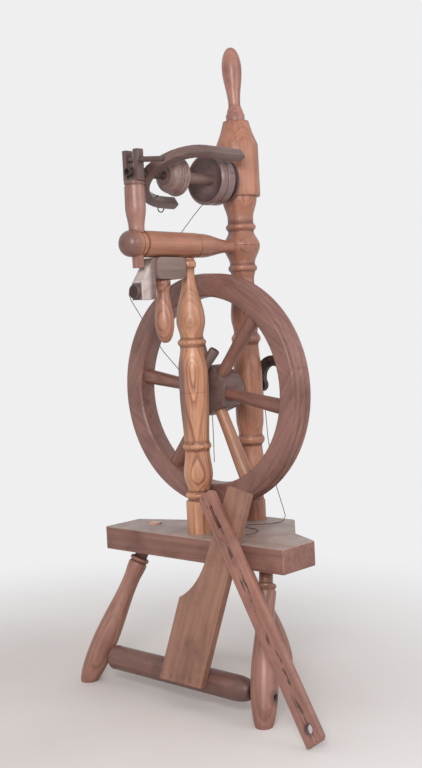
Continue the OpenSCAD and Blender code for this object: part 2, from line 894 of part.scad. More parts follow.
module spindle() {
    stand() color(iron_black) on_spindle() difference() {
        translate([0, -spindle_front, 0]) along_y() turned([
            [0, spindle_r],
            [spindle_front - spindle_step, spindle_r],
            [spindle_front - spindle_step, spindle_mid_r],
            [spindle_front + rear_bearing_from - 4, spindle_mid_r],
            [spindle_front + rear_bearing_from - 4, spindle_tail_r],
            [spindle_front + spindle_rear, spindle_tail_r]
        ]);
        translate([0, -spindle_front - 1, 0]) along_y() cylinder(r = orifice_r, h = orifice_deep + 1);
    }
}

// Flyer hooks: wire, with a ring near the end of the short arm and a stub further forward
wire_r = 1;
hook_ring = 7.5;
hook_at = bow_short_to + 22;
stub_at = bow_short_to + 52;
stub_len = 15;

module flyer_hooks() {
    out = bow_half + bow_w / 2;
    in = bow_half - bow_w / 2;
    stand() color(iron_black) on_spindle() {
        translate([-out - hook_ring + 1.5, -hook_at, 0]) rotate([90, 0, 0]) rotate([0, 0, 20])
            rotate_extrude(angle = 320, $fn = 32) translate([hook_ring, 0]) circle(r = wire_r, $fn = 16);
        translate([-in - 6, -stub_at, 0]) rotate([0, 90, 0]) cylinder(r = wire_r, h = stub_len, $fn = 16);
    }
}

// Bobbin: a barrel that turns on the spindle, with a ringed bell in front and a grooved whorl behind
bell_from = -88;
bell_t = 25;
whorl_from = 5;
whorl_t = 50;
cord_at = 44.5;

module bobbin_barrel() {
    stand() color(dusky_wood) translate([0, bell_from + 2, flyer_z]) along_y() difference() {
        cylinder(r = bobbin_r, h = whorl_from + whorl_t - bell_from - 4);
        translate([0, 0, -1]) cylinder(r = spindle_mid_r + run_gap, h = whorl_from + whorl_t - bell_from);
    }
}

module bobbin_bell() {
    stand() color(dusky_wood) translate([0, bell_from, flyer_z]) along_y() difference() {
        turned([
            [0, bobbin_r + 4],
            [9, bell_r - 6, 3.5],
            [10, bell_r - 6.5],
            [14, bell_r - 4.5, 1],
            [15, bell_r - 5],
            [19, bell_r - 2.5, 1],
            [20, bell_r - 3],
            [bell_t, bell_r - 1.5, 1.5]
        ]);
        translate([0, 0, -1]) cylinder(r = bobbin_r + seat_gap, h = bell_t + 2);
    }
}

module bobbin_whorl() {
    groove_r = whorl_r - 18;
    flange_r = whorl_r - 6;
    stand() color(dusky_wood) translate([0, whorl_from, flyer_z]) along_y() rotate_extrude() polygon([
        [bobbin_r + seat_gap, 9],
        [whorl_r - 10, 7],
        [whorl_r - 6, 1],
        [whorl_r - 3, 0],
        [whorl_r, 3],
        [whorl_r, 13],
        [whorl_r - 2, 15],
        [whorl_r - 2, 17],
        [whorl_r - 0.5, 18.5],
        [whorl_r - 0.5, 32],
        [whorl_r - 3, 35],
        [whorl_r - 10, 39],
        [groove_r, cord_at - 1.5],
        [groove_r, cord_at + 1.5],
        [flange_r - 2, whorl_t - 2],
        [flange_r, whorl_t - 1],
        [flange_r, whorl_t],
        [bobbin_r + seat_gap, whorl_t]
    ]);
}

// Treadle: a round bar on two pins with a shaped board, folded up to lean on the table's front edge
edge_fall = table_top - bar_z;
edge_back = bar_y - table_front - lean_gap;
board_lean = atan(edge_back / edge_fall) + asin(bar_r / norm([edge_back, edge_fall]));
board_skew = 12.4;
board_mid = 31;
board_hem = 8;
board_spare = 40;
shoulder_from = 124;
shoulder_turn = 30;
shoulder_to = 208;
shoulder_steps = 8;
tail_root_w = board_tail_w + 9;
peg_hole_r = 4;
peg_len = 26;
peg_spots = [8, 52];

module on_bar() {
    translate([0, -bar_y, bar_z]) children();
}

// Draws in the leaning plane of the board, with +Z up its length and -Y out of its face
module in_board_plane() {
    on_bar() rotate([-board_lean, 0, 0]) translate([0, -bar_r, 0]) children();
}

module peg_holes(r, deep) {
    for (x = peg_spots)
        in_board_plane() translate([x, deep - peg_len, 0]) along_y() cylinder(r = r, h = peg_len);
}

bar_peg_deep = peg_len - board_t;
bar_round = 34;

module treadle_bar() {
    bar_len = bar_to - bar_from;
    stand() color(dark_wood) difference() {
        translate([bar_from, -bar_y, bar_z]) rotate([0, 90, 0]) turned([
            [0, bar_r - 5],
            [8, bar_r, 1.5],
            [bar_len - bar_round, bar_r],
            [bar_len, bar_tip_r, "dome"]
        ]);
        translate([bar_from - 1, -bar_y, bar_z]) rotate([0, 90, 0])
            cylinder(r = pin_r + seat_gap, h = pin_in_bar + 1 + seat_gap);
        translate([bar_to - pin_in_bar - seat_gap, -bar_y, bar_z]) rotate([0, 90, 0])
            cylinder(r = pin_r + seat_gap, h = pin_in_bar + 1 + seat_gap);
        peg_holes(peg_hole_r + seat_gap, bar_peg_deep + seat_gap);
    }
}

module treadle_pins() {
    stand() color(iron_black) {
        translate([bar_from - bar_gap - pin_in_leg, -bar_y, bar_z]) rotate([0, 90, 0])
            cylinder(r = pin_r, h = pin_in_leg + bar_gap + pin_in_bar);
        translate([bar_to - pin_in_bar, -bar_y, bar_z]) rotate([0, 90, 0])
            cylinder(r = pin_r, h = pin_in_leg + bar_gap + pin_in_bar);
    }
}

module treadle_board() {
    half = board_w / 2;
    shoulder = [
        for (i = [0:shoulder_steps])
            let (a = shoulder_turn + (90 - shoulder_turn) * i / shoulder_steps)
            [-half + (board_w - tail_root_w) * (sin(a) - sin(shoulder_turn)) / (1 - sin(shoulder_turn)),
             shoulder_from + (shoulder_to - shoulder_from) * (1 - cos(a) / cos(shoulder_turn))]
    ];
    stand() color(ruddy_wood) difference() {
        in_board_plane() translate([board_mid, 0, 0]) rotate([0, board_skew, 0])
            rotate([90, 0, 0]) linear_extrude(board_t) polygon(concat(
                [[half, -board_spare], [half, board_len - board_hem - 3], [half - 3, board_len - board_hem]],
                [[half - board_tail_w + 3, board_len - board_hem], [half - board_tail_w, board_len - board_hem - 3]],
                reversed(shoulder),
                [[-half, -board_spare]]
            ));
        in_board_plane() below(-board_hem);
        peg_holes(peg_hole_r + seat_gap, bar_peg_deep);
    }
}

module treadle_pegs() {
    stand() color(dusky_wood) peg_holes(peg_hole_r, bar_peg_deep);
}

// Footman: a flat stick with a round hole low down and a slot near its top. It lies on the treadle board's
// face with its lower end on the floor
footman_foot_x = 320;
footman_tilt = 36.8;
footman_hole_at = 23;
slot_w = 7;
slot_from = 66;
slot_to = 24;
corner = 5;
face_out = bar_r + board_t + lean_gap;
floor_down = (bar_z + face_out * sin(board_lean)) / cos(board_lean);

module footman() {
    half = footman_w / 2;
    stand() color(ruddy_wood) in_board_plane()
        translate([footman_foot_x, -board_t - lean_gap, half * sin(footman_tilt) - floor_down])
            rotate([0, -footman_tilt, 0]) difference() {
                rotate([90, 0, 0]) linear_extrude(footman_t) polygon([
                    [-half, 0],
                    [half - corner, 0],
                    [half, corner],
                    [half, footman_len - corner],
                    [half - corner, footman_len],
                    [-half + corner, footman_len],
                    [-half, footman_len - corner]
                ]);
                translate([0, -footman_t - 1, footman_hole_at])
                    along_y() cylinder(r = footman_hole_r, h = footman_t + 2);
                translate([-slot_w / 2, -footman_t - 1, footman_len - slot_from])
                    cube([slot_w, footman_t + 2, slot_from - slot_to]);
            }
}

// Cords: each is one tube swept along points chosen by hand
cord_r = 0.7;
cord_sides = 8;

peg_z = tongue_z + tongue_h / 2;
yarn_z = table_top + cord_r + 0.3;

groove_y = whorl_from + cord_at;

brake_route = [
    [5, groove_y, flyer_z + 29], [-14, groove_y, flyer_z + 25], [-27, groove_y, flyer_z + 11],
    [-29, groove_y, flyer_z - 2], [-30, groove_y, flyer_z - 15], [-35, 50, flyer_z - 27], [-48, 54, flyer_z - 33],
    [-60, 58, flyer_z - 37], [-60, 40, flyer_z - 52], [-58, 1, arm_z + 29], [-50, -50, arm_z - 6],
    [-36, -110, arm_z - 42], [-20, -155, peg_z + 12], [-14, -172, peg_z + 4], [-13.5, -175, peg_z - 4],
    [-12, -172, peg_z - 14], [-16, -140, peg_z - 52], [-22, -95, axle_z + 73], [-29, -50, axle_z + 37],
    [-25, -27, axle_z + 23], [-12, -19, axle_z + 13], [-2, -18.5, axle_z + 9.5], [7, -18.5, axle_z + 7],
    [12, -18.5, axle_z - 4], [13, -18.5, axle_z - 34], [13, -18.5, axle_z - 79], [12, -18.5, axle_z - 124]
];

yarn_route = [
    [-10, 124, axle_z - 32], [-9, 124, axle_z - 9], [-8, 124, axle_z + 4], [-3.5, 124, axle_z + 8.5],
    [3.5, 124, axle_z + 8.5], [8, 124, axle_z + 4], [9, 124, axle_z - 9], [13, 124, axle_z - 44],
    [16, 124, axle_z - 94], [22, 124, table_top + 99], [32, 124, table_top + 54], [46, 121, table_top + 22],
    [56, 115, table_top + 7], [60, 104, yarn_z], [64, 88, yarn_z], [60, 70, yarn_z], [50, 58, yarn_z],
    [40, 50, yarn_z], [30, 42, yarn_z], [30, 30, yarn_z], [46, 20, yarn_z], [68, 18, yarn_z], [84, 6, yarn_z],
    [92, -12, yarn_z], [86, -30, yarn_z]
];

function unit(v) = v / norm(v);
function lead(route, i) = unit(
    (i == 0 ? unit(route[1] - route[0]) : unit(route[i] - route[i - 1]))
    + (i == len(route) - 1 ? unit(route[i] - route[i - 1]) : unit(route[i + 1] - route[i]))
);

// Each ring's first side, carried along the route so that the tube doesn't twist
function side_after(side, way) = unit(side - way * (side * way));
function sides(route, i) =
    i == 0 ? side_after([0.3, 0.5, 0.8], lead(route, 0))
    : side_after(sides(route, i - 1), lead(route, i));

module cord(route) {
    rings = len(route);
    points = [
        for (i = [0:rings - 1])
            let (way = lead(route, i), a = sides(route, i), b = cross(way, a))
            for (k = [0:cord_sides - 1])
                let (t = 360 * k / cord_sides)
                route[i] + cord_r * (a * cos(t) + b * sin(t))
    ];
    walls = [
        for (i = [0:rings - 2], k = [0:cord_sides - 1])
            let (p = i * cord_sides, q = (k + 1) % cord_sides)
            each [
                [p + k, p + cord_sides + k, p + cord_sides + q],
                [p + k, p + cord_sides + q, p + q]
            ]
    ];
    last = (rings - 1) * cord_sides;
    caps = [
        for (k = [1:cord_sides - 2])
            each [[0, k, k + 1], [last, last + k + 1, last + k]]
    ];
    polyhedron(points = points, faces = concat(walls, caps));
}

module brake_cord() {
    stand() color(cord_grey) cord(brake_route);
}

module loose_yarn() {
    stand() color(cord_grey) cord(yarn_route);
}

table();
left_leg();
right_leg();
rear_leg();
front_post();
rear_post();
post_handle();
arm();
front_maiden();
front_bearing();
bearing_keeper();
rear_bearing();
tension_bracket();
hand_screw();
tension_peg();
felloe(0);  // felloe_1
felloe(1);  // felloe_2
felloe(2);  // felloe_3
felloe(3);  // felloe_4
rim_dowels();
spoke(0);  // spoke_1
spoke(1);  // spoke_2
spoke(2);  // spoke_3
spoke(3);  // spoke_4
spoke(4);  // spoke_5
spoke(5);  // spoke_6
hub();
axle();
front_axle_bush();
rear_axle_bush();
crank();
flyer_bow();
spindle();
flyer_hooks();
bobbin_barrel();
bobbin_bell();
bobbin_whorl();
treadle_bar();
treadle_pins();
treadle_board();
treadle_pegs();
footman();
brake_cord();
loose_yarn();
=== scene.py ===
import math

import bmesh
import bpy
from mathutils import Euler, Matrix, Vector


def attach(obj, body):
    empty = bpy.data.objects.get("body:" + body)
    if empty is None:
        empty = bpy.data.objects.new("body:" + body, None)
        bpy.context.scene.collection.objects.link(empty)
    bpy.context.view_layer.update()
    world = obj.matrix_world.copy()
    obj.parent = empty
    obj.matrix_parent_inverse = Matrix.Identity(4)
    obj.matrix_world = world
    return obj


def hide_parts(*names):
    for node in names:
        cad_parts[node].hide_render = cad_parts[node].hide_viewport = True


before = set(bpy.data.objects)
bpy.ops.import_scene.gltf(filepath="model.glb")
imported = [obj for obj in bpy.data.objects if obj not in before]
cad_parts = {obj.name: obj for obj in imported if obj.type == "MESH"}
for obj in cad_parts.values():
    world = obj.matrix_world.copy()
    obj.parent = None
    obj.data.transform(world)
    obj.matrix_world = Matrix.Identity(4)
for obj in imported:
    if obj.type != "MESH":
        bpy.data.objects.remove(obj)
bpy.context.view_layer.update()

scene = bpy.context.scene

# Camera
# A normal lens at the height of the wheel's upper spokes, turned to see the front post's side
# and the right-hand side of the wheel. The frame is 422 wide and 768 high.
lens = bpy.data.cameras.new("lens")
lens.sensor_fit = "VERTICAL"
lens.sensor_height = 36
lens.lens = 50.34
camera = bpy.data.objects.new("camera", lens)
camera.matrix_world = Matrix((
    (0.7334, 0.0004, 0.6798, 1.2216),
    (0.6779, 0.0729, -0.7315, -1.3588),
    (-0.0498, 0.9973, 0.0532, 0.6277),
    (0, 0, 0, 1),
))
scene.collection.objects.link(camera)
scene.camera = camera
scene.view_settings.view_transform = "Standard"


# Studio
# A plain pale floor that runs out into an even pale surround, a lamp above the lens and a weaker one
# at the right.


def tint(red, green, blue):
    """A colour as a screen shows it, 0 to 255, turned to light values."""
    parts = [c / 255 for c in (red, green, blue)]
    return tuple(c / 12.92 if c <= 0.04045 else ((c + 0.055) / 1.055) ** 2.4 for c in parts) + (1,)


def put(tree, kind, *values, **settings):
    """A node of that kind. Its sockets take the values or outputs given, in order; None skips one."""
    node = tree.nodes.new("ShaderNode" + kind)
    for key, value in settings.items():
        setattr(node, key, value)
    for socket, value in zip(node.inputs, values):
        if isinstance(value, bpy.types.NodeSocket):
            tree.links.new(value, socket)
        elif value is not None:
            socket.default_value = value
    return node


def empty_material(name):
    material = bpy.data.materials.new(name)
    material.use_nodes = True
    material.node_tree.nodes.clear()
    return material, material.node_tree


def object_coords(tree):
    return put(tree, "TexCoord").outputs["Object"]


def distance(tree, vector, point):
    return put(tree, "VectorMath", vector, point, operation="DISTANCE").outputs[1]


def maths(tree, operation, *values, clamp=False):
    return put(tree, "Math", *values, operation=operation, use_clamp=clamp).outputs[0]


def noise(tree, vector, scale, detail, rough=0.5):
    return put(tree, "TexNoise", vector, None, scale, detail, rough).outputs[0]


def ramp(tree, factor, *stops):
    """A colour ramp whose stops are (place, grey value or colour)."""
    node = put(tree, "ValToRGB", factor)
    band = node.color_ramp.elements
    while len(band) < len(stops):
        band.new(0.5)
    for element, (place, shade) in zip(band, stops):
        element.position = place
        element.color = shade if isinstance(shade, tuple) else (shade, shade, shade, 1)
    return node.outputs["Color"]


def seen_by_eye(tree):
    """1 for what the camera sees, straight, in gloss or through glass, and 0 for light on things."""
    path = put(tree, "LightPath").outputs
    seen = maths(tree, "MAXIMUM", path["Is Camera Ray"], path["Is Glossy Ray"])
    return maths(tree, "MAXIMUM", seen, path["Is Transmission Ray"])


backdrop_tint = tint(239, 239, 240)
floor_middle, floor_near, floor_gone = (-0.18, -0.16, 0), 0.2, 1.2

floor_paint, t = empty_material("pale_floor")
floor_coords = object_coords(t)
floor_cloud = noise(t, floor_coords, 3, 4)
floor_shade = ramp(t, floor_cloud, (0.3, tint(206, 198, 195)), (0.7, tint(213, 206, 203)))
floor_bsdf = put(t, "BsdfPrincipled", floor_shade)
floor_bsdf.inputs["Roughness"].default_value = 0.8
floor_far = put(
    t, "MapRange", distance(t, floor_coords, floor_middle), floor_near, floor_gone, 0, 1,
    interpolation_type="SMOOTHSTEP",
).outputs[0]
floor_far = maths(t, "MULTIPLY", floor_far, seen_by_eye(t))
floor_edge = put(t, "Emission", backdrop_tint, 1).outputs[0]
floor_mix = put(t, "MixShader", floor_far, floor_bsdf.outputs[0], floor_edge).outputs[0]
t.links.new(floor_mix, put(t, "OutputMaterial").inputs[0])

floor_mesh = bpy.data.meshes.new("floor")
bm = bmesh.new()
bmesh.ops.create_grid(bm, x_segments=2, y_segments=2, size=9)
bm.to_mesh(floor_mesh)
bm.free()
floor = bpy.data.objects.new("floor", floor_mesh)
floor_mesh.materials.append(floor_paint)
scene.collection.objects.link(floor)

surround = bpy.data.worlds.new("surround")
scene.world = surround
surround.use_nodes = True
t = surround.node_tree
t.nodes.clear()
glow = put(t, "Background", (1, 1, 1, 1), 0.74).outputs[0]
backdrop = put(t, "Background", backdrop_tint, 1).outputs[0]
surround_mix = put(t, "MixShader", seen_by_eye(t), glow, backdrop).outputs[0]
t.links.new(surround_mix, put(t, "OutputWorld").inputs[0])

lamp_aim = Vector((0, 0, 0.55))
lamps = [
    ("key_lamp", Vector((1.25, -1.65, 1.3)), 0.7, 27),
    ("side_lamp", Vector((2.3, 0.4, 1.4)), 1.2, 13),
]
for lamp_name, lamp_place, lamp_size, lamp_power in lamps:
    light = bpy.data.lights.new(lamp_name, "AREA")
    light.size = lamp_size
    light.energy = lamp_power
    lamp = bpy.data.objects.new(lamp_name, light)
    lamp_turn = (lamp_aim - lamp_place).to_track_quat("-Z", "Y")
    lamp.matrix_world = Matrix.LocRotScale(lamp_place, lamp_turn, None)
    scene.collection.objects.link(lamp)

# Cords
# Thin two-ply handspun yarn, limp and grey with age. The brake cord runs from the bobbin's whorl down
# to the tension peg and on over the axle, where its end hangs. A loose end hangs from the axle's rear
# and lies on the table.
footprint_x, footprint_y = 52.5, -16.5


def spot(x, y, z):
    """A point in millimetres, from the floor under the hub, in the model's frame."""
    return Vector((x - footprint_x, y - footprint_y, z)) / 1000


def axes(tree, vector):
    """The parts of a vector along X, Y and Z."""
    return put(tree, "SeparateXYZ", vector).outputs


def surfaced(tree, bsdf, height, strength, depth):
    """Gives a shader its relief and makes it the material's surface."""
    bump = put(tree, "Bump", strength, depth)
    tree.links.new(height, bump.inputs["Height"])
    tree.links.new(bump.outputs[0], bsdf.inputs["Normal"])
    tree.links.new(bsdf.outputs[0], put(tree, "OutputMaterial").inputs[0])


cord_r = 0.0007
yarn_pitch = 0.005
cords = [
    ("brake_cord", "taut", [
        (5, 49.5, 912), (-14, 49.5, 908), (-27, 49.5, 894), (-29, 49.5, 881), (-30, 49.5, 868),
        (-35, 50, 856), (-48, 54, 850), (-60, 58, 846), (-60, 40, 831), (-58, 1, 797), (-50, -50, 762),
        (-36, -110, 726), (-20, -155, 702.5), (-14, -172, 694.5), (-13.5, -175, 686.5),
        (-12, -172, 676.5), (-16, -140, 638.5), (-22, -95, 590), (-29, -50, 554), (-25, -27, 540),
        (-12, -19, 530), (-2, -18.5, 526.5), (7, -18.5, 524), (12, -18.5, 513), (13, -18.5, 483),
        (13, -18.5, 438), (12, -18.5, 393),
    ]),
    ("loose_yarn", "loose", [
        (-10, 124, 485), (-9, 124, 508), (-8, 124, 521), (-3.5, 124, 525.5), (3.5, 124, 525.5),
        (8, 124, 521), (9, 124, 508), (13, 124, 473), (16, 124, 423), (22, 124, 373), (32, 124, 328),
        (46, 121, 296), (56, 115, 281), (60, 104, 275), (64, 88, 275), (60, 70, 275), (50, 58, 275),
        (40, 50, 275), (30, 42, 275), (30, 30, 275), (46, 20, 275), (68, 18, 275), (84, 6, 275),
        (92, -12, 275), (86, -30, 275),
    ]),
]
for cord_name, cord_lay, cord_route in cords:
    line = bpy.data.curves.new(cord_name + "_line", "CURVE")
    line.dimensions = "3D"
    line.bevel_depth = cord_r
    line.bevel_resolution = 3
    line.use_fill_caps = True
    run = line.splines.new("POLY")
    run.points.add(len(cord_route) - 1)
    for point, place in zip(run.points, cord_route):
        point.co = (*spot(*place), 1)

    yarn, t = empty_material(cord_name + "_yarn")
    lay_along = axes(t, put(t, "TexCoord").outputs["UV"])
    twist = maths(t, "MULTIPLY_ADD", lay_along[0], run.calc_length() / yarn_pitch, lay_along[1])
    ply = maths(t, "SINE", maths(t, "MULTIPLY", twist, 4 * math.pi))
    fluff = noise(t, object_coords(t), 900, 3)
    spun = maths(t, "MULTIPLY_ADD", ply, 0.12, fluff)
    yarn_shade = ramp(t, spun, (0.3, tint(76, 68, 63)), (0.7, tint(120, 110, 103)))
    yarn_bsdf = put(t, "BsdfPrincipled", yarn_shade)
    yarn_bsdf.inputs["Roughness"].default_value = 0.9
    surfaced(t, yarn_bsdf, spun, 0.5, 0.0004)
    line.materials.append(yarn)

    cord = bpy.data.objects.new("spun_" + cord_name, line)
    scene.collection.objects.link(cord)
    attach(cord, "stand")
    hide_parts(cord_name)

# Table
# A thick sawn plank, wide in front and narrowed to a tongue behind, with its corners left square and
# its edges rubbed round. Years of dust lie on the top.


def effect(name, takes, gives):
    """A node group with sockets of the names and kinds given, and the inner ends of both."""
    group = bpy.data.node_groups.new(name, "ShaderNodeTree")
    for in_out, sockets in (("INPUT", takes), ("OUTPUT", gives)):
        for socket_name, kind in sockets.items():
            group.interface.new_socket(socket_name, in_out=in_out, socket_type="NodeSocket" + kind)
    return group, group.nodes.new("NodeGroupInput").outputs, group.nodes.new("NodeGroupOutput").inputs


def stretched(tree, vector, by):
    """Coordinates multiplied along each axis, so that noise on them is drawn out along the least."""
    return put(tree, "VectorMath", vector, by, operation="MULTIPLY").outputs[0]


def eased(tree, value, start, end, low, high):
    """A value that goes from low, where another is at start, to high, and is held beyond both ends."""
    return put(tree, "MapRange", value, start, end, low, high).outputs[0]


def product(tree, mask, *others):
    for other in others:
        mask = maths(tree, "MULTIPLY", mask, other)
    return mask


def blended(tree, mask, under, upper, kind="MIX"):
    """One colour laid over another by a mask. The colours are the mix node's seventh and eighth sockets."""
    between = [None] * 5
    mix = put(tree, "Mix", mask, *between, under, upper, data_type="RGBA", blend_type=kind)
    return mix.outputs[2]


# Grain of wood: uneven rings about the tree's heart, which fade in and out, and fine fibres along them
grain, ask, give = effect("wood_grain", {
    "Vector": "Vector", "Heart": "Vector", "Ring": "Float", "Figure": "Float", "Pale": "Color",
    "Deep": "Color",
}, {"Color": "Color", "Height": "Float"})
slow = stretched(grain, ask["Vector"], (17, 17, 3.2))
sway = put(grain, "TexNoise", slow, None, 1, 3).outputs[1]
sway = put(grain, "VectorMath", sway, (0.5, 0.5, 0.5), operation="SUBTRACT").outputs[0]
sway = stretched(grain, sway, (0.016, 0.016, 0))
aside = put(grain, "VectorMath", ask["Vector"], ask["Heart"], operation="ADD").outputs[0]
aside = put(grain, "VectorMath", aside, sway, operation="ADD").outputs[0]
across = stretched(grain, aside, (1, 1, 0.03))
reach = put(grain, "VectorMath", across, operation="LENGTH").outputs[1]
years = maths(grain, "DIVIDE", reach, ask["Ring"])
uneven = put(grain, "TexNoise", None, years, 0.45, 2, noise_dimensions="1D").outputs[0]
year = maths(grain, "FRACT", maths(grain, "MULTIPLY_ADD", uneven, 2.4, years))
late = ramp(grain, year, (0, 0.3), (0.3, 0.08), (0.72, 0.62), (0.9, 1), (1, 0.3))
fade = noise(grain, stretched(grain, ask["Vector"], (38, 38, 7)), 1, 2)
late = product(grain, late, eased(grain, fade, 0.32, 0.66, 0.3, 1))
fibre = noise(grain, stretched(grain, ask["Vector"], (760, 760, 17)), 1, 4, 0.65)
streak = noise(grain, stretched(grain, ask["Vector"], (120, 120, 4)), 1, 3)
depth = maths(grain, "MULTIPLY_ADD", late, ask["Figure"], -0.42)
depth = maths(grain, "MULTIPLY_ADD", fibre, 0.6, depth)
depth = maths(grain, "MULTIPLY_ADD", streak, 0.9, depth, clamp=True)
grain.links.new(blended(grain, depth, ask["Pale"], ask["Deep"]), give["Color"])
grain.links.new(maths(grain, "MULTIPLY_ADD", fibre, -0.6, depth), give["Height"])

# Age: soil in blotches, nicks and grooves, edges rubbed paler, and a polish that comes and goes
age, ask, give = effect("age_and_handling", {
    "Vector": "Vector", "Color": "Color", "Soil": "Float", "Groove": "Float", "Worn": "Float",
    "Rough": "Float",
}, {"Color": "Color", "Roughness": "Float"})
blot = noise(age, ask["Vector"], 17, 5, 0.6)
speck = noise(age, ask["Vector"], 260, 2)
dirt = maths(age, "MULTIPLY", eased(age, blot, 0.44, 0.74, 0, 1), ask["Soil"])
nicks = eased(age, speck, 0.67, 0.75, 0, 0.6)
dirt = maths(age, "MULTIPLY_ADD", nicks, ask["Soil"], dirt)
dirt = maths(age, "MULTIPLY_ADD", ask["Groove"], 0.8, dirt, clamp=True)
soiled = blended(age, dirt, ask["Color"], tint(146, 124, 118), "MULTIPLY")
paler = put(age, "HueSaturation", 0.5, 0.85, 1.55, 1, soiled).outputs[0]
rubbed = maths(age, "MULTIPLY", ask["Worn"], blot)
age.links.new(blended(age, rubbed, soiled, paler), give["Color"])
gloss = maths(age, "MULTIPLY_ADD", blot, 0.3, -0.15)
gloss = maths(age, "MULTIPLY_ADD", ask["Groove"], 0.2, gloss)
age.links.new(maths(age, "ADD", gloss, ask["Rough"], clamp=True), give["Roughness"])


def wood(
    name, pale, deep, place, way=(0, 0, 1), turn=None, heart=(-41, 44, 0), ring=4.2, figure=0.5,
    soil=0.4, rough=0.45,
):
    """Old oiled wood. Its grain runs along a direction, about a heart off to one side of the place."""
    material, t = empty_material(name)
    turn = turn or tuple(Vector(way).rotation_difference(Vector((0, 0, 1))).to_euler())
    centre = Euler(turn).to_matrix() @ (spot(*place) + Vector(heart) / 1000)
    coords = object_coords(t)
    laid = put(t, "Mapping", coords, None, turn).outputs[0]
    figured = put(
        t, "Group", laid, (-centre.x, -centre.y, 0), ring / 1000, figure, tint(*pale), tint(*deep),
        node_tree=grain,
    ).outputs
    groove = put(t, "Attribute", attribute_name="groove").outputs["Fac"]
    worn = put(t, "Attribute", attribute_name="worn").outputs["Fac"]
    aged = put(t, "Group", coords, figured["Color"], soil, groove, worn, rough, node_tree=age).outputs
    bsdf = put(t, "BsdfPrincipled", aged["Color"])
    t.links.new(aged["Roughness"], bsdf.inputs["Roughness"])
    surfaced(t, bsdf, figured["Height"], 0.22, 0.0006)
    material["base"] = bsdf.name
    return material


def over(material, mask, colour):
    """Lays a colour over a finish where the mask is 1, as dust, end grain, a dark mark or painted shade."""
    t = material.node_tree
    base = t.nodes[material["base"]].inputs["Base Color"]
    t.links.new(blended(t, mask, base.links[0].from_socket, tint(*colour)), base)


smooth_limit, sharp_limit, flat_limit = math.radians(38), math.radians(32), math.radians(0.6)


def finished(bm, name, finish, body, nodes):
    """Smooths a mesh up to its sharp edges and hands it over as the piece that stands for those nodes."""
    for face in bm.faces:
        face.smooth = True
    for edge in bm.edges:
        edge.smooth = len(edge.link_faces) == 2 and edge.calc_face_angle() < smooth_limit
    mesh = bpy.data.meshes.new(name)
    bm.to_mesh(mesh)
    bm.free()
    mesh.materials.append(finish)
    piece = bpy.data.objects.new(name, mesh)
    scene.collection.objects.link(piece)
    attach(piece, body)
    if nodes:
        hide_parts(*nodes)
    return piece


def rubbed_down(name, node, finish, body, edge=0.0016, segments=2, wear=0.8):
    """A sawn or forged piece: the node's solid, its edges rubbed round and soil in its inner corners."""
    bm = bmesh.new()
    bm.from_mesh(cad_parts[node].data)
    bmesh.ops.remove_doubles(bm, verts=bm.verts, dist=0.00001)
    bmesh.ops.dissolve_limit(bm, angle_limit=flat_limit, verts=bm.verts, edges=bm.edges)
    sharp = [e for e in bm.edges if len(e.link_faces) == 2 and e.calc_face_angle() > sharp_limit]
    worn = bm.faces.layers.float.new("worn")
    groove = bm.faces.layers.float.new("groove")
    new = bmesh.ops.bevel(
        bm, geom=sharp, offset=edge, segments=segments, profile=0.5, affect="EDGES",
        clamp_overlap=True, material=-1,
    )
    for face in new["faces"]:
        bend = sum(e.calc_face_angle_signed(0) for e in face.edges if len(e.link_faces) == 2)
        if bend > 0:
            face[worn] = wear
        else:
            face[groove] = 1.0
    return finished(bm, name, finish, body, [node])


plank_top, plank_under = 274, 233
table_wood = wood(
    "table_wood", (149, 106, 93), (92, 58, 50), (0, 0, 253), way=(1, 0, 0), heart=(0, 60, -90), ring=5,
    figure=0.4, soil=0.6, rough=0.5,
)
t = table_wood.node_tree
table_coords = object_coords(t)
table_upper = maths(t, "GREATER_THAN", axes(t, table_coords)[2], (plank_top - 1.2) / 1000)
dust = eased(t, noise(t, table_coords, 26, 6, 0.62), 0.3, 0.62, 0.3, 0.9)
over(table_wood, product(t, dust, table_upper), (160, 143, 135))
rubbed_down("plank_table", "table", table_wood, "stand", edge=0.003, segments=3)

# Legs
# Three turned legs of one pattern, splayed and tenoned up into the plank: a neck, a ring, a long shaft
# that swells low down, and a foot cut level. The left tenon stands proud of the plank, and the pin
# hole goes right through the right leg.

# How finely a turning is drawn: steps along a curve and a bead, millimetres along a straight, steps round
curve_steps, bead_steps, straight_step, lathe_steps = 18, 10, 12, 56
# How near a neighbour counts, and how far below its neighbours a groove is black with soil, in millimetres
groove_span, groove_depth = 5, 1.4


def turned_line(rows):
    """The outline of a turning from rows of height and radius, with swells and beads between them."""
    line = [(rows[0][0], rows[0][1])]
    for (h0, r0, *_), (h1, r1, *shape) in zip(rows, rows[1:]):
        if not shape:
            steps = max(1, int(abs(h1 - h0) / straight_step))
            parts = [(i / steps, i / steps, 0) for i in range(1, steps + 1)]
        elif shape[0] == "swell":
            turns = [math.pi * i / curve_steps for i in range(1, curve_steps + 1)]
            parts = [(a / math.pi, (1 - math.cos(a)) / 2, 0) for a in turns]
        elif shape[0] in ("rise", "dome"):
            turns = [math.pi / 2 * i / curve_steps for i in range(1, curve_steps + 1)]
            parts = [(1 - math.cos(a), math.sin(a), 0) for a in turns]
            if shape[0] == "dome":
                parts = [(math.sin(a), 1 - math.cos(a), 0) for a in turns]
        else:
            turns = [math.pi * i / bead_steps for i in range(1, bead_steps + 1)]
            ways = [((1 - math.cos(a)) / 2, shape[0] * math.sin(a)) for a in turns]
            parts = [(way, way, bead) for way, bead in ways]
        line += [(h0 + (h1 - h0) * u, r0 + (r1 - r0) * v + bead) for u, v, bead in parts]
    return line


